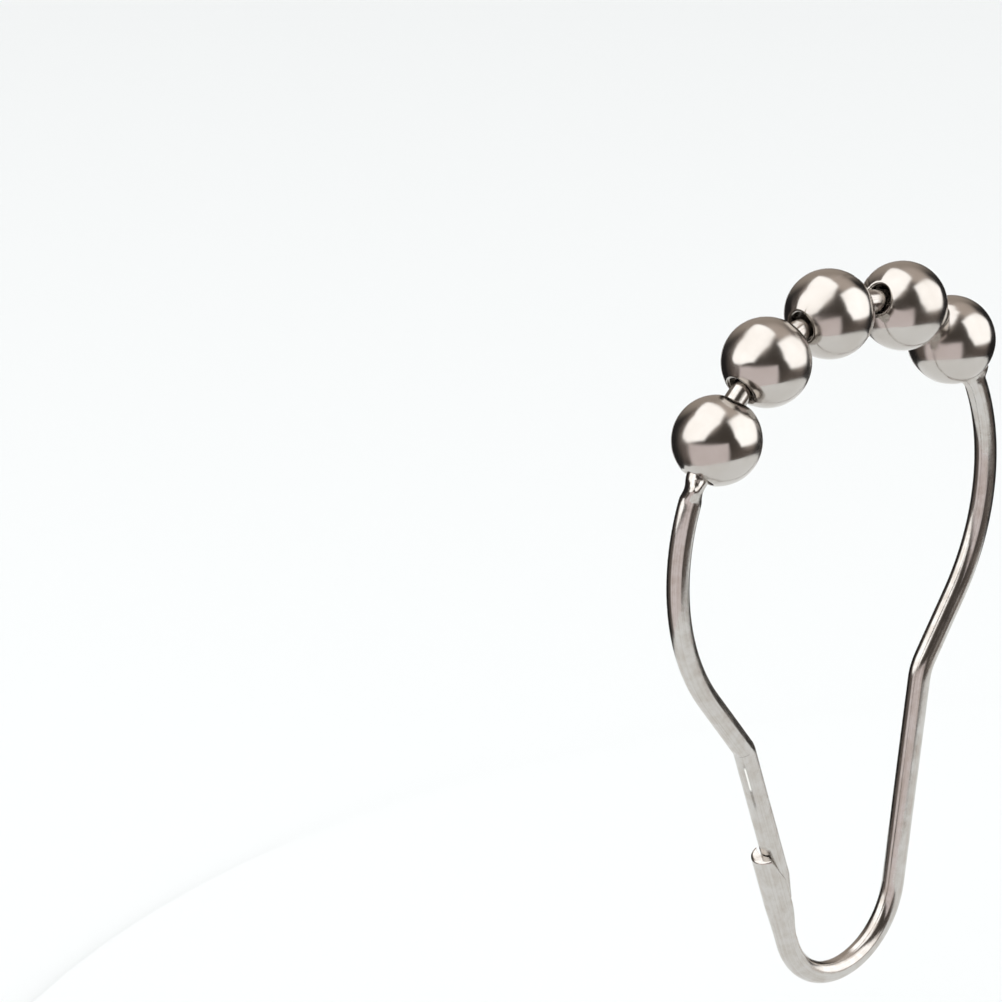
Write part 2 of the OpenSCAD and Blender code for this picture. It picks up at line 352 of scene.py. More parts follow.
def drawn_wire_plate(plate, path):
    """Nickel over steel wire drawn through a die: satin, with fine lines along the wire that smear its
    highlights, a cloudy bloom and a fine grain in the plate, and a painted highlight and painted shade on
    the front leg."""
    material, tree, output = new_material("nickel_drawn_wire")
    along = add_node(tree, "ShaderNodeAttribute", {"attribute_name": "along_wire"}).outputs["Vector"]
    place = add_node(tree, "ShaderNodeTexCoord").outputs["Object"]
    stretched = add_node(tree, "ShaderNodeVectorMath", {"operation": "MULTIPLY"}, {
        0: along, 1: [per_mm(length) for length in DIE_LINE]}).outputs[0]
    lines = noise(tree, stretched, 1.0, 3.0, 0.6)
    bloom = noise(tree, place, per_mm(WIRE_BLOOM), 6.0, 0.65)
    grain = noise(tree, place, per_mm(WIRE_GRAIN), 2.0)
    tarnish = maths(tree, "MULTIPLY_ADD", lines, 0.7, bloom)
    colour = mixed(tree, even(tree, tarnish, 0.72, 1.06), rgba(plate.nickel), rgba(plate.warm_nickel))
    # Painted highlight and painted shade from the front leg's streak and crease, mixed into the plate's
    # colour
    bright, dark = painted_light_on_leg(tree, along, plate, path)
    colour = mixed(tree, maths(tree, "MULTIPLY", dark, grain), colour, rgba(plate.painted_shade))
    colour = mixed(tree, bright, colour, rgba(plate.painted_highlight))
    dulled = maths(tree, "MULTIPLY_ADD", lines, 0.6, bloom)
    roughness = even(tree, dulled, 0.6, 1.0, plate.wire_roughness * 0.6, plate.wire_roughness * 1.5)
    streaks = relief(tree, lines, STREAK_DEPTH)
    plated(tree, output, colour, roughness, relief(tree, grain, GRAIN_DEPTH, streaks))
    return material


def show_material(piece, material):
    piece.data.materials.clear()
    piece.data.materials.append(material)


def glow(name, colour, strength=1.0):
    """Lit cloth or card, whose light fades out at its edge."""
    material, tree, output = new_material(name)
    lit = add_node(tree, "ShaderNodeAttribute", {"attribute_name": "lit"}).outputs["Fac"]
    clear = add_node(tree, "ShaderNodeBsdfTransparent").outputs[0]
    light = add_node(tree, "ShaderNodeEmission", None, {"Color": rgba(colour), "Strength": strength})
    shader = add_node(tree, "ShaderNodeMixShader", None, {0: lit, 1: clear, 2: light.outputs[0]})
    tree.links.new(shader.outputs[0], output.inputs["Surface"])
    return material


def pick(piece):
    """Makes one object the selected and active one."""
    bpy.ops.object.select_all(action="DESELECT")
    piece.select_set(True)
    bpy.context.view_layer.objects.active = piece


def apply_modifier(piece, kind, **settings):
    pick(piece)
    modifier = piece.modifiers.new(kind.lower(), kind)
    for name, value in settings.items():
        setattr(modifier, name, value)
    bpy.ops.object.modifier_apply(modifier=modifier.name)


def cut(piece, cutter):
    """Cuts one solid out of another and removes the cutter."""
    apply_modifier(piece, "BOOLEAN", operation="DIFFERENCE", solver="EXACT", object=cutter)
    bpy.data.objects.remove(cutter)


def polar(r, degrees):
    """A vector of length r, turned by an angle from the first axis towards the second."""
    turn = math.radians(degrees)
    return Vector((r * math.cos(turn), r * math.sin(turn)))


def heading(v):
    """Angle of a vector from the first axis, in degrees."""
    return math.degrees(math.atan2(v[1], v[0]))


def in_plane(v, x=0.0):
    """A place in the plane of the hook, given as depth and height, in space."""
    return Vector((x, v[0], v[1]))


def smooth_step(t):
    t = min(max(t, 0.0), 1.0)
    return t * t * (3 - 2 * t)


class WirePath:
    """Middle line of the wire in the plane of the hook, as depth and height in millimetres."""

    def __init__(self, wire):
        self.loop_centre = Vector((wire.loop_shift, -wire.loop_drop))
        self.front_out = -polar(1, wire.front_lean)
        self.front_up = polar(1, 90 + wire.front_lean)
        back_out = polar(1, -wire.back_lean)
        back_up = polar(1, 90 - wire.back_lean)
        self.trough_top = wire.trough_start + wire.trough_len
        self.trough_foot = self.loop_centre + wire.loop_r * self.front_out
        back_foot = self.loop_centre + wire.loop_r * back_out
        leg_foot = self.trough_foot - (wire.trough_base + wire.latch_play) * self.front_out
        self.leg_end = leg_foot + (self.trough_top - wire.latch_overlap) * self.front_up
        front_corner = self.reach(leg_foot, self.front_up, math.hypot(wire.head_r, wire.front_shoulder))
        back_corner = self.reach(back_foot, back_up, math.hypot(wire.head_r, wire.back_shoulder))
        front_touch = self.touch(front_corner, -1, wire.head_r) + 360
        back_touch = self.touch(back_corner, 1, wire.head_r)
        head_front = polar(wire.head_r, front_touch)
        head_back = polar(wire.head_r, back_touch)
        self.kink_centre, kink_low, kink_high = self.bend(
            front_corner, -self.front_up, head_front, wire.kink_r)
        back_centre, bend_low, bend_high = self.bend(back_corner, -back_up, head_back, wire.bend_r)
        self.tip_start = self.leg_end + wire.tip_len * self.front_up
        self.trough_end = self.trough_foot + self.trough_top * self.front_up
        self.trough_runs = [
            ("line", self.trough_end, self.trough_foot),
            ("arc", self.loop_centre, 180 + wire.front_lean, 360 - wire.back_lean, wire.loop_r)]
        self.other_runs = [
            ("line", back_foot, bend_low),
            ("arc", back_centre, bend_low, bend_high),
            ("line", bend_high, head_back),
            ("arc", Vector((0, 0)), back_touch, front_touch, wire.head_r),
            ("line", head_front, kink_high),
            ("arc", self.kink_centre, kink_high, kink_low),
            ("line", kink_low, self.tip_start)]

    def reach(self, start, way, r):
        """First point on a line from start that lies r from the middle of the head."""
        along = start.dot(way)
        return start - way * (math.sqrt(along ** 2 - start.dot(start) + r * r) + along)

    def touch(self, corner, side, r):
        """Where a line from a corner touches the head, as an angle."""
        return heading(corner) + side * math.degrees(math.acos(r / corner.length))

    def bend(self, corner, down, head_end, r):
        """Middle, lower end and upper end of the bend at a corner."""
        up = (head_end - corner).normalized()
        half = math.acos(up.dot(down)) / 2
        centre = corner + (up + down).normalized() * r / math.sin(half)
        return centre, corner + down * r / math.tan(half), corner + up * r / math.tan(half)


def angles(run):
    """Start angle, turn and radius of an arc, in degrees and millimetres."""
    if len(run) == 5:
        return run[2], run[3] - run[2], run[4]
    start = heading(run[2] - run[1])
    turn = (heading(run[3] - run[1]) - start + 180) % 360 - 180
    return start, turn, (run[2] - run[1]).length


def run_length(run):
    if run[0] == "line":
        return (run[2] - run[1]).length
    _, turn, r = angles(run)
    return math.radians(abs(turn)) * r


def nearest_on(run, point):
    """Distance of a point from a run, how far along the run it lies, and how far to the run's side."""
    if run[0] == "line":
        way = run[2] - run[1]
        along = min(max((point - run[1]).dot(way.normalized()), 0), way.length)
        off = point - run[1] - way.normalized() * along
        return off.length, along, off.dot(Vector((-way.y, way.x)).normalized())
    first, turn, r = angles(run)
    sign = 1 if turn > 0 else -1
    way = point - run[1]
    swept = ((heading(way) - first) * sign) % 360
    if swept > abs(turn):
        swept = 0 if swept > 180 + abs(turn) / 2 else abs(turn)
    nearest = run[1] + polar(r, first + swept * sign)
    return (point - nearest).length, math.radians(swept) * r, (r - way.length) * sign


def panel(name, centre, outline, distance, fade, material):
    """A flat panel that faces the origin; its outline is given as seen from there, right and up of its
    centre, in shares of the distance. Its light fades from inside to outside the outline, by a share of
    the panel's size."""
    facing = Vector(centre).normalized()
    right = Vector((0, 0, 1)).cross(facing).normalized()
    up = facing.cross(right)
    corners_seen = [right * x + up * y for x, y in outline]
    count = len(outline)
    middle = sum(corners_seen, Vector()) / count
    points = [(facing + middle + (corner - middle) * reach) * distance
              for reach in (1 - fade, 1 + fade) for corner in corners_seen]
    rim = [(i, (i + 1) % count, count + (i + 1) % count, count + i) for i in range(count)]
    mesh = bpy.data.meshes.new(name)
    mesh.from_pydata(points, [], [tuple(range(count)), *rim])
    piece = bpy.data.objects.new(name, mesh)
    bpy.context.scene.collection.objects.link(piece)
    show_material(piece, material)
    lit = piece.data.attributes.new("lit", "FLOAT", "POINT")
    lit.data.foreach_set("value", [1.0] * count + [0.0] * count)
    return piece


def select_faces(piece, test):
    """Selects the faces whose centre and normal pass the test and nothing else, and stays in edit mode."""
    bpy.ops.object.mode_set(mode="EDIT")
    bpy.ops.mesh.select_mode(type="FACE")
    bpy.ops.mesh.select_all(action="DESELECT")
    bpy.ops.object.mode_set(mode="OBJECT")
    for face in piece.data.polygons:
        face.select = test(face.center, face.normal)
    bpy.ops.object.mode_set(mode="EDIT")


def select_open_rings():
    """Selects the open rings of the mesh in edit mode and nothing else."""
    bpy.ops.mesh.select_mode(type="EDGE")
    bpy.ops.mesh.select_all(action="DESELECT")
    bpy.ops.mesh.select_non_manifold(extend=False)


def hide_from(piece, *rays):
    for ray in rays:
        setattr(piece, "visible_" + ray, False)


class HOOK_OT_stage(bpy.types.Operator):
    """Camera, white background, pale floor, two soft boxes and the dark studio that the metal reflects"""

    bl_idname = "hook.stage"
    bl_label = "Build the stage"

    # Directions from the hook
    LEFT_BOX = (-0.24, -0.454, 0.858)
    RIGHT_BOX = (0.631, 0.669, 0.393)
    CARD = (0.311, -0.852, -0.421)
    BACK_WALL = (-0.70, 0.555, 0.449)
    BETWEEN_BOXES = (-0.02, 0.516, 0.856)
    # Outlines as the hook sees them, right and up of those directions, in shares of the distance
    LEFT_OUTLINE = (
        (-1.08, -2.43), (-0.58, -0.16), (-1.42, 0.62), (-0.07, 1.15), (0.56, 0.51), (0.85, -0.74))
    RIGHT_OUTLINE = (
        (-0.40, 0.95), (0.48, 0.35), (0.86, -0.24), (0.50, -0.67), (-0.68, -0.47), (-0.83, 0.13))
    CARD_OUTLINE = ((-1.32, 0.48), (1.64, 1.03), (0.89, -0.55), (-0.85, -0.52))
    # Distances from the hook, in metres
    BOX_DISTANCE = 0.8
    CARD_DISTANCE = 0.3
    SURROUND_RADIUS = 1.6
    # Background light that isn't seen, and light that the floor adds where it is seen
    FILL = 0.35
    FLOOR_LIFT = 0.13
    # The surround is open this far below the level, and within this angle of straight behind
    OPEN_BELOW = math.radians(45)
    OPEN_BEHIND = math.radians(18)

    def execute(self, context):
        stage = context.scene.hook_stage
        self.add_camera(context, stage)
        self.add_background(context)
        self.add_floor(stage)
        self.add_soft_boxes(stage)
        self.add_surround(stage)
        return {"FINISHED"}

    def add_camera(self, context, stage):
        data = bpy.data.cameras.new("camera")
        data.lens = stage.lens
        data.clip_start = 0.01
        camera = bpy.data.objects.new("camera", data)
        context.scene.collection.objects.link(camera)
        camera.location = Vector(stage.target) + towards_camera(stage) * stage.distance
        camera.rotation_euler = (math.pi / 2 - stage.elevation, 0, stage.azimuth)
        context.scene.camera = camera
        context.scene.view_settings.view_transform = "Standard"

    def seen_rays(self, tree):
        """One for rays from the camera, from metal or through glass, and zero for the rest."""
        rays = add_node(tree, "ShaderNodeLightPath").outputs
        seen = maths(tree, "MAXIMUM", rays["Is Camera Ray"], rays["Is Glossy Ray"])
        return maths(tree, "MAXIMUM", seen, rays["Is Transmission Ray"])

    def add_background(self, context):
        """White to the camera and in the metal, and a plain grey fill for everything else."""
        world = bpy.data.worlds.new("white_background")
        context.scene.world = world
        world.use_nodes = True
        tree = world.node_tree
        tree.nodes.clear()
        strength = even(tree, self.seen_rays(tree), 0.0, 1.0, self.FILL, 1.0)
        shader = add_node(tree, "ShaderNodeBackground", None, {
            "Color": rgba(srgb("FFFFFF")), "Strength": strength})
        output = add_node(tree, "ShaderNodeOutputWorld")
        tree.links.new(shader.outputs[0], output.inputs["Surface"])

    def add_floor(self, stage):
        """A round sheet of white board that keeps the hook's shadow."""
        material, tree, output = new_material("white_board")
        board = add_node(tree, "ShaderNodeBsdfDiffuse", None, {"Color": rgba(srgb("E0E2E2"))})
        lift = even(tree, self.seen_rays(tree), 0.0, 1.0, 0.0, self.FLOOR_LIFT)
        light = add_node(tree, "ShaderNodeEmission", None, {"Strength": lift})
        both = add_node(tree, "ShaderNodeAddShader", None, {0: board.outputs[0], 1: light.outputs[0]})
        tree.links.new(both.outputs[0], output.inputs["Surface"])
        # The outer sheet lies a millimetre lower than the inner one
        sheets = (
            ("floor", stage.mirrored_radius, (*stage.mirrored_centre, -stage.floor_drop)),
            ("outer_floor", stage.floor_radius, (0, 0, -stage.floor_drop - MM)))
        for name, radius, place in sheets:
            bpy.ops.mesh.primitive_circle_add(vertices=96, radius=radius, fill_type="NGON", location=place)
            floor = bpy.context.object
            floor.name = name
            show_material(floor, material)
        # The outer sheet isn't mirrored in the metal
        hide_from(floor, "glossy")

    def add_soft_boxes(self, stage):
        """Two lamps behind cloth, and a pinkish card low in front that the metal reflects."""
        cloth = glow("lit_white_cloth", srgb("FFFFFF"), stage.soft_box_strength)
        boxes = (
            ("soft_box_left", self.LEFT_BOX, self.LEFT_OUTLINE, 0.07),
            ("soft_box_right", self.RIGHT_BOX, self.RIGHT_OUTLINE, 0.1))
        for name, centre, outline, fade in boxes:
            hide_from(panel(name, centre, outline, self.BOX_DISTANCE, fade, cloth), "camera")
        card = panel("front_card", self.CARD, self.CARD_OUTLINE,
                     distance=self.CARD_DISTANCE, fade=0.15, material=glow("pinkish_card", srgb("F2E8E8")))
        hide_from(card, "camera", "diffuse", "shadow")

    def add_surround(self, stage):
        """Dark walls and ceiling, seen only in the metal, open to the background behind the hook."""
        material, tree, output = new_material("dim_studio")
        place = add_node(tree, "ShaderNodeNewGeometry").outputs["Position"]
        way = add_node(tree, "ShaderNodeVectorMath", {"operation": "NORMALIZE"}, {0: place}).outputs[0]

        def nearness(direction):
            """Cosine of the angle between a direction and the way to a place on the surround."""
            return add_node(tree, "ShaderNodeVectorMath", {"operation": "DOT_PRODUCT"}, {
                0: way, 1: direction}).outputs["Value"]

        front = nearness(towards_camera(stage))
        colour = mixed(tree, eased(tree, front, 0.2, 0.9), rgba(srgb("6C635E")), rgba(srgb("504A45")))
        colour = mixed(tree, eased(tree, front, -0.15, -0.6), colour, rgba(srgb("292727")))
        # Direction of each glow, nearness at which it starts and is full, and colour
        glows = (
            (self.BACK_WALL, 0.75, 0.98, "B5AAA0"),
            (self.LEFT_BOX, 0.65, 0.95, "D4C8BF"),
            (self.RIGHT_BOX, 0.72, 0.97, "D4C8BF"),
            (self.BETWEEN_BOXES, 0.82, 0.99, "D4C8BF"))
        for centre, edge, full, code in glows:
            share = eased(tree, nearness(Vector(centre).normalized()), edge, full)
            colour = mixed(tree, share, colour, rgba(srgb(code)))
        shader = add_node(tree, "ShaderNodeEmission", None, {"Color": colour})
        tree.links.new(shader.outputs[0], output.inputs["Surface"])
        bpy.ops.mesh.primitive_ico_sphere_add(subdivisions=6, radius=self.SURROUND_RADIUS)
        surround = bpy.context.object
        surround.name = "dim_studio"
        lowest = -math.sin(self.OPEN_BELOW)
        straight_behind = -towards_camera(stage)
        window = math.cos(self.OPEN_BEHIND)
        select_faces(surround, lambda place, normal: (
            place.normalized().z < lowest or place.normalized().dot(straight_behind) > window))
        bpy.ops.mesh.delete(type="FACE")
        bpy.ops.object.mode_set(mode="OBJECT")
        show_material(surround, material)
        hide_from(surround, "camera", "diffuse", "shadow", "transmission")


def rolls():
    """The joint that each ball turns on, in order."""
    return sorted(frame["joints"], key=lambda joint: joint["name"])


def ball_angle(joint):
    """Place of a ball on the head, in degrees from the back."""
    return heading(Vector(joint["pos_m"][1:]))


def hole_edge(balls, wire):
    """Middle of the rounded edge of a ball's hole: its radius, and its height above the ball's middle."""
    edge_r = wire.wire_d / 2 + balls.hole_play + balls.ball_wall / 2
    wall_middle = (balls.ball_d - balls.ball_wall) / 2
    return edge_r, math.sqrt(wall_middle ** 2 - edge_r ** 2)


def stop_places(wire):
    """Angles on the head of the two stops, one outside each end ball."""
    balls = worked(bpy.context.scene.hook_balls)
    half_len = hole_edge(balls, wire)[1] + balls.ball_wall / 2
    offset = math.degrees((half_len + wire.stop_gap + wire.ear_len / 2) / wire.head_r)
    return ball_angle(rolls()[0]) + offset, ball_angle(rolls()[-1]) - offset


class HOOK_OT_balls(bpy.types.Operator):
    """Five hollow balls, rolled from strip with a seam, rounded hole edges and faint creases"""

    bl_idname = "hook.balls"
    bl_label = "Build the roller balls"

    # Turn of each ball's seam round the wire, in degrees
    SEAM_TURNS = (-62, 190, 20, -60, -24)
    # The part of a turn that holds the seam, its steps, and those of the rest
    SEAM_PART = math.radians(8)
    SEAM_STEPS = 24
    ROUND_STEPS = 104
    # Steps along the wall's outer and inner face, and round a hole's edge
    OUTER_STEPS = 96
    INNER_STEPS = 24
    RIM_STEPS = 10
    # Points nearer than this are one, in millimetres
    MERGE = 0.0005
    # The creases start this far from a hole's edge and deepen over this much, in degrees
    CREASE_START = 38
    CREASE_RISE = 30

    def execute(self, context):
        balls = worked(context.scene.hook_balls)
        wire = worked(context.scene.hook_wire)
        material = bright_ball_plate(worked(context.scene.hook_plate))
        pattern = self.roll_up(balls, wire)
        for number, (joint, seam_turn) in enumerate(zip(rolls(), self.SEAM_TURNS), 1):
            piece = pattern.copy()
            piece.data = pattern.data.copy()
            piece.name = f"ball_shell_{number}"
            context.scene.collection.objects.link(piece)
            place = ball_angle(joint)
            radial = in_plane(polar(1, place))
            axis = in_plane(polar(1, place - 90))
            turned = Matrix((radial, axis.cross(radial), axis)).transposed().to_4x4()
            piece.data.transform(
                Matrix.Translation(joint["pos_m"]) @ turned
                @ Matrix.Rotation(math.radians(seam_turn), 4, "Z") @ Matrix.Scale(MM, 4))
            show_material(piece, material)
            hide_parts(f"roller_ball_{number}")
            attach(piece, joint["child"])
        bpy.data.objects.remove(pattern)
        return {"FINISHED"}

    def roll_up(self, balls, wire):
        """Spins the section of the wall round the hole's axis, with fine steps at the seam."""
        outer = balls.ball_d / 2
        inner = outer - balls.ball_wall
        rim = balls.ball_wall / 2
        edge_r, edge_z = hole_edge(balls, wire)
        rise = heading((edge_r, edge_z))

        def arc(centre, r, start, sweep, steps, inset=0):
            """Points along an arc, without the first and the last of them where there is an inset."""
            return [Vector(centre) + polar(r, start + sweep * i / steps)
                    for i in range(inset, steps + 1 - inset)]

        section = [
            *arc((0, 0), outer, -rise, 2 * rise, self.OUTER_STEPS),
            *arc((edge_r, edge_z), rim, rise, 180, self.RIM_STEPS, 1),
            *arc((0, 0), inner, rise, -2 * rise, self.INNER_STEPS),
            *arc((edge_r, -edge_z), rim, 180 - rise, 180, self.RIM_STEPS, 1)]
        mesh = bpy.data.meshes.new("wall_section")
        count = len(section)
        mesh.from_pydata([(p.x, 0, p.y) for p in section], [(i, (i + 1) % count) for i in range(count)], [])
        piece = bpy.data.objects.new("ball_pattern", mesh)
        bpy.context.scene.collection.objects.link(piece)
        pick(piece)
        rest = 2 * math.pi - self.SEAM_PART
        bpy.ops.object.mode_set(mode="EDIT")
        bpy.ops.mesh.select_all(action="SELECT")
        bpy.ops.mesh.spin(steps=self.SEAM_STEPS, angle=self.SEAM_PART, center=(0, 0, 0), axis=(0, 0, 1))
        bpy.ops.mesh.spin(steps=self.ROUND_STEPS, angle=rest, center=(0, 0, 0), axis=(0, 0, 1))
        bpy.ops.mesh.select_all(action="SELECT")
        bpy.ops.mesh.remove_doubles(threshold=self.MERGE)
        bpy.ops.mesh.normals_make_consistent(inside=False)
        bpy.ops.object.mode_set(mode="OBJECT")
        mesh.transform(Matrix.Rotation(-self.SEAM_PART / 2, 4, "Z"))
        self.dress(mesh, balls, inner, rise)
        bpy.ops.object.shade_smooth()
        return piece

    def dress(self, mesh, balls, inner, rise):
        """Sinks the seam and the shallow creases where the strip's edges were gathered round the holes."""
        for vertex in mesh.vertices:
            r = vertex.co.length
            # The inner face stays smooth
            if r < inner + balls.ball_wall * 0.6:
                continue
            out = vertex.co / r
            seam = math.exp(-(vertex.co.y / (balls.seam_w / 2)) ** 2) if vertex.co.x > 0 else 0.0
            height = abs(math.degrees(math.asin(out.z)))
            gather = smooth_step((height - rise + self.CREASE_START) / self.CREASE_RISE)
            turn = math.atan2(vertex.co.y, vertex.co.x)
            # The creases differ in depth round a hole and between the two holes
            uneven = 0.6 + 0.4 * math.sin(3 * turn + (2 if out.z > 0 else 5))
            wave = 0.5 - 0.5 * math.cos(balls.creases * turn + (0 if out.z > 0 else 1.3))
            vertex.co -= out * (balls.seam_depth * seam + balls.crease_depth * gather * uneven * wave)


class HOOK_OT_wire(bpy.types.Operator):
    """Bent, pressed and plated wire: drawn out along its path, then pinched at the stops and the trough"""

    bl_idname = "hook.wire"
    bl_label = "Build the wire hook"

    # Corners of the wire's section, fewest steps round a bend, and steps along the tip
    SIDES = 48
    BEND_STEPS = 14
    TIP_STEPS = 8
    # Step, rounding of sharp edges and of the trough's end, and slack, in millimetres
    STEP = 0.4
    EDGE = 0.06
    ROLLED_EDGE = 0.3
    SLACK = 0.01
    # Reach of the trough's cutters past its end, in millimetres
    PAST = 1.0
    # Depth of the lips' cutter in trough widths, and reach of the punch in stop lengths
    TRIM_DEPTH = 0.6
    PUNCH_REACH = 0.6

    def execute(self, context):
        wire = worked(context.scene.hook_wire)
        path = WirePath(wire)
        piece = self.start_at_trough(wire, path)
        self.draw_out(path.trough_runs)
        self.close_ends()
        self.press_trough(piece, wire, path)
        self.round_end(piece, path)
        self.cut_trough(piece, wire, path)
        self.reopen(piece, path)
        self.draw_out(path.other_runs)
        self.draw_tip(wire, path)
        self.close_ends()
        self.press_kink(piece, wire, path)
        self.press_stops(piece, wire)
        self.soften_edges(piece)
        self.lay_grain(piece, wire, path)
        piece.data.transform(Matrix.Scale(MM, 4))
        show_material(piece, drawn_wire_plate(worked(context.scene.hook_plate), path))
        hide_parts("wire_hook")
        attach(piece, "wire")
        return {"FINISHED"}

    def start_at_trough(self, wire, path):
        """A ring at the end of the wire that becomes the trough, left in edit mode."""
        bpy.ops.mesh.primitive_circle_add(
            vertices=self.SIDES, radius=wire.wire_d / 2, location=in_plane(path.trough_end),
            rotation=(math.radians(wire.front_lean), 0, 0))
        piece = bpy.context.object
        piece.name = "bent_wire"
        bpy.ops.object.transform_apply(location=True, rotation=True, scale=True)
        bpy.ops.object.mode_set(mode="EDIT")
        bpy.ops.mesh.select_mode(type="EDGE")
        bpy.ops.mesh.select_all(action="SELECT")
        return piece

    def draw_out(self, runs):
        """Draws the selected ring out along straight runs and round bends."""
        for run in runs:
            if run[0] == "line":
                way = run[2] - run[1]
                steps = max(1, round(way.length / self.STEP))
                for _ in range(steps):
                    bpy.ops.mesh.extrude_region_move(
                        TRANSFORM_OT_translate={"value": in_plane(way / steps)})
            else:
                _, turn, r = angles(run)
                steps = max(self.BEND_STEPS, round(math.radians(abs(turn)) * r / self.STEP))
                bpy.ops.mesh.spin(
                    steps=steps, angle=-math.radians(turn), center=in_plane(run[1]), axis=(1, 0, 0))

    def draw_tip(self, wire, path):
        """Narrows the front leg towards its tip."""
        before = wire.wire_d
        for i in range(1, self.TIP_STEPS + 1):
            bpy.ops.mesh.extrude_region_move(
                TRANSFORM_OT_translate={"value": -in_plane(path.front_up) * wire.tip_len / self.TIP_STEPS})
            after = wire.wire_d + (wire.tip_d - wire.wire_d) * i / self.TIP_STEPS
            ring = path.tip_start - path.front_up * wire.tip_len * i / self.TIP_STEPS
            bpy.ops.transform.resize(value=(after / before,) * 3, center_override=in_plane(ring))
            before = after

    def close_ends(self):
        """Closes every open ring with a face, turns all faces outwards and leaves edit mode."""
        select_open_rings()
        bpy.ops.mesh.edge_face_add()
        bpy.ops.mesh.select_all(action="SELECT")
        bpy.ops.mesh.normals_make_consistent(inside=False)
        bpy.ops.object.mode_set(mode="OBJECT")

    def reopen(self, piece, path):
        """Takes the face off the end of the loop and selects its ring, to draw the wire on from there."""
        end = in_plane(path.other_runs[0][1])
        pick(piece)
        bpy.ops.object.mode_set(mode="EDIT")
        bpy.ops.mesh.select_mode(type="FACE")
        bpy.ops.mesh.select_all(action="DESELECT")
        bpy.ops.object.mode_set(mode="OBJECT")
        last = min(piece.data.polygons, key=lambda face: (face.center - end).length)
        ring = set(last.vertices)
        last.select = True
        bpy.ops.object.mode_set(mode="EDIT")
        bpy.ops.mesh.delete(type="ONLY_FACE")
        bpy.ops.mesh.select_mode(type="EDGE")
        bpy.ops.mesh.select_all(action="DESELECT")
        bpy.ops.object.mode_set(mode="OBJECT")
        for edge in piece.data.edges:
            edge.select = ring.issuperset(edge.vertices)
        bpy.ops.object.mode_set(mode="EDIT")

    def press_kink(self, piece, wire, path):
        """The pin that the front leg was bent over leaves a flat inside the kink."""
        pin = wire.kink_r - wire.wire_d / 2 + wire.pin_mark
        for vertex in piece.data.vertices:
            place = Vector(vertex.co[1:]) - path.kink_centre
            if 0 < place.length < pin:
                vertex.co = in_plane(path.kink_centre + place * pin / place.length, vertex.co.x)

    def press_stops(self, piece, wire):
        """A punch flattens the wire outside the first and the last ball and squeezes out two ears."""
        for stop in stop_places(wire):
            middle = in_plane(polar(wire.head_r, stop))
            out = in_plane(polar(1, stop))
            along = in_plane(polar(1, stop + 90))
            turn = math.radians(wire.ear_turn)
            flat = out * math.cos(turn) - Vector((1, 0, 0)) * math.sin(turn)
            ear = out * math.sin(turn) + Vector((1, 0, 0)) * math.cos(turn)
            reach = wire.ear_len * self.PUNCH_REACH
            for vertex in piece.data.vertices:
                place = vertex.co - middle
                share = place.dot(along) / reach
                if abs(share) < 1 and place.length < 2 * reach:
                    squeeze = (1 - share ** 2) ** 2
                    thin = place.dot(flat)
                    wide = place.dot(ear)
                    bulge = min(abs(wide) / (wire.wire_d / 2), 1) ** 2
                    vertex.co -= flat * thin * squeeze * (1 - wire.flat_t / wire.wire_d)
                    vertex.co += ear * wide * squeeze * bulge * (wire.ear_w / wire.wire_d - 1)

    def press_trough(self, piece, wire, path):
        """Widens the end of the wire, whose outer face stays in line."""
        foot = in_plane(path.trough_foot)
        up = in_plane(path.front_up)
        out = in_plane(path.front_out)
        for vertex in piece.data.vertices:
            place = vertex.co - foot
            height = place.dot(up)
            side = place.dot(out)
            on_wire = math.hypot(side, place.x) < wire.wire_d / 2 + self.SLACK
            if on_wire and wire.trough_start < height < path.trough_top + self.SLACK:
                share = smooth_step((height - wire.trough_start) / wire.trough_taper)
                grow = 1 + share * (wire.trough_w / wire.wire_d - 1)
                side = wire.wire_d / 2 - (wire.wire_d / 2 - side) * grow
                vertex.co = foot + up * height + out * side + Vector((place.x * grow, 0, 0))

    def round_end(self, piece, path):
        """Rounds the outer edge of the trough's end, which the shears rolled over."""
        end = in_plane(path.trough_end)
        pick(piece)
        up = in_plane(path.front_up)
        select_faces(piece, lambda centre, normal: (centre - end).length < 1 and normal.dot(up) > 0.99)
        bpy.ops.mesh.bevel(offset=self.ROLLED_EDGE, segments=6, affect="EDGES")
        bpy.ops.object.mode_set(mode="OBJECT")

    def cut_trough(self, piece, wire, path):
        """Presses the bed, trims the lips and cuts one of them aslant."""
        up = in_plane(path.front_up)
        out = in_plane(path.front_out)
        turned = Matrix((up, out, Vector((1, 0, 0)))).transposed().to_4x4()
        place = Matrix.Translation(in_plane(path.trough_foot)) @ turned
        cutters = (
            self.bed_cutter(wire, path, place),
            self.lip_cutter(wire, place),
            self.slant_cutter(wire, path, place))
        for cutter in cutters:
            cut(piece, cutter)

    def bed_cutter(self, wire, path, place):
        """A round bar with a round end, in the shape of the bed and its run-out."""
        bed = wire.wire_d / 2 - wire.trough_base - wire.bed_r
        bed_start = path.trough_top - wire.latch_overlap
        bpy.ops.mesh.primitive_uv_sphere_add(segments=64, ring_count=32, radius=wire.bed_r)
        groove = bpy.context.object
        select_faces(groove, lambda centre, normal: centre.z > 0)
        bpy.ops.mesh.delete(type="FACE")
        select_open_rings()
        bpy.ops.mesh.extrude_region_move(
            TRANSFORM_OT_translate={"value": (0, 0, wire.trough_len + self.PAST)})
        self.close_ends()
        groove.data.transform(
            place @ Matrix.Translation((bed_start, bed, 0)) @ Matrix.Rotation(math.pi / 2, 4, "Y"))
        return groove

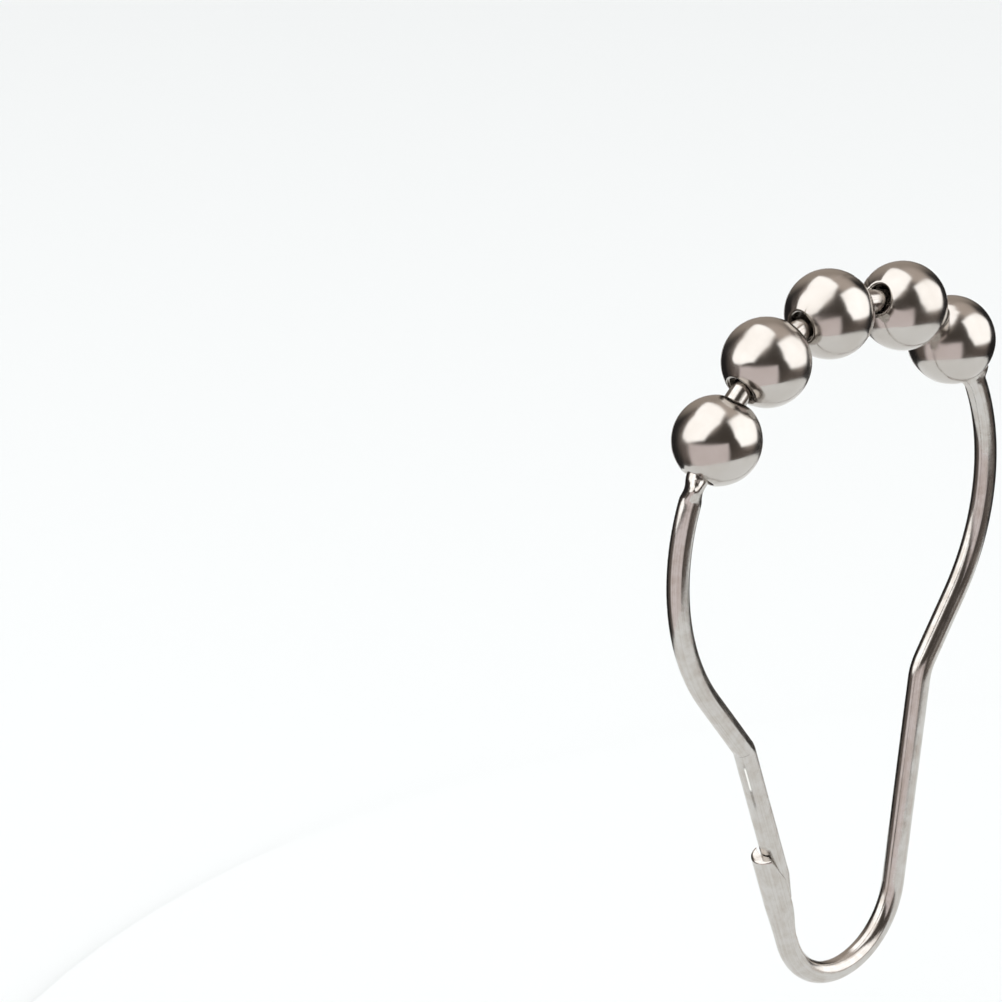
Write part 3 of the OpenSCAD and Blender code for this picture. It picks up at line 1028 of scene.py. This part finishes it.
    def lip_cutter(self, wire, place):
        """A block that trims both lips, with a ramp at its lower end."""
        length = wire.trough_len + self.PAST
        depth = self.TRIM_DEPTH * wire.trough_w
        bpy.ops.mesh.primitive_cube_add(size=1)
        trim = bpy.context.object
        for vertex in trim.data.vertices:
            if vertex.co.x < 0 and vertex.co.y < 0:
                vertex.co.x -= wire.ramp * depth / length
        trim.data.transform(
            place @ Matrix.Translation((wire.trough_start + length / 2, -wire.lip_h - depth / 2, 0))
            @ Matrix.Diagonal((length, depth, 2 * wire.trough_w, 1)))
        return trim

    def slant_cutter(self, wire, path, place):
        """A block turned round and along the trough, which slices one lip."""
        axis = wire.wire_d / 2 - wire.trough_w / 2
        bpy.ops.mesh.primitive_cube_add(size=2 * wire.trough_w)
        slant = bpy.context.object
        slant.data.transform(
            place @ Matrix.Translation((path.trough_top, axis, 0))
            @ Matrix.Rotation(math.radians(90 + wire.lip_cut_angle), 4, "X")
            @ Matrix.Rotation(-math.atan2(wire.lip_cut_w, wire.lip_cut_len), 4, "Z")
            @ Matrix.Translation((0, wire.trough_w, 0)))
        return slant

    def soften_edges(self, piece):
        """Rounds every sharp edge a little, as the plating does."""
        apply_modifier(piece, "BEVEL", width=self.EDGE, segments=2, limit_method="ANGLE",
                       angle_limit=math.radians(40))
        pick(piece)
        bpy.ops.object.shade_smooth()
        apply_modifier(piece, "WEIGHTED_NORMAL", keep_sharp=True, weight=60)

    def lay_grain(self, piece, wire, path):
        """Records where each point lies along and across the wire, for the die lines."""
        every_run = path.trough_runs + path.other_runs
        across_leg = Vector((-path.front_up.y, path.front_up.x))
        values = []
        for vertex in piece.data.vertices:
            x = vertex.co.x
            point = Vector(vertex.co[1:])
            off_leg = abs((path.leg_end - point).dot(across_leg))
            # What lies low in front, off the leg's own surface, is the trough
            beside_leg = math.hypot(off_leg, x) > wire.wire_d / 2 + 0.03
            in_trough = beside_leg and point.y < path.trough_end.y + 0.1 and point.x < path.loop_centre.x
            best = None
            start = 0.0
            for run in path.trough_runs if in_trough else every_run:
                off, along, side = nearest_on(run, point)
                if best is None or off < best[0]:
                    best = (off, start + along, side)
                start += run_length(run)
            values += [best[1] * MM, best[2] * MM, x * MM]
        grain = piece.data.attributes.new("along_wire", "FLOAT_VECTOR", "POINT")
        grain.data.foreach_set("vector", values)


class HOOK_PT_panel(bpy.types.Panel):
    """Sizes, colours and steps of the shower curtain hook"""

    bl_idname = "HOOK_PT_panel"
    bl_label = "Shower curtain hook"
    bl_space_type = "VIEW_3D"
    bl_region_type = "UI"
    bl_category = "Hook"

    def draw(self, context):
        for key in GROUPS:
            group = getattr(context.scene, key)
            box = self.layout.box()
            for name in group.__annotations__:
                box.prop(group, name)
        for step in STEPS:
            self.layout.operator(step.bl_idname)


GROUPS = {
    "hook_wire": HookWireSettings, "hook_balls": HookBallSettings,
    "hook_plate": HookPlateSettings, "hook_stage": HookStageSettings}
STEPS = (HOOK_OT_stage, HOOK_OT_wire, HOOK_OT_balls)
CLASSES = (*GROUPS.values(), *STEPS, HOOK_PT_panel)


def register():
    for part in CLASSES:
        bpy.utils.register_class(part)
    for name, group in GROUPS.items():
        setattr(bpy.types.Scene, name, bpy.props.PointerProperty(type=group))


def unregister():
    for name in GROUPS:
        delattr(bpy.types.Scene, name)
    for part in reversed(CLASSES):
        bpy.utils.unregister_class(part)


def main():
    """Builds the stage and the hook."""
    register()
    bpy.ops.hook.stage()
    bpy.ops.hook.wire()
    bpy.ops.hook.balls()


if __name__ == "__main__":
    main()
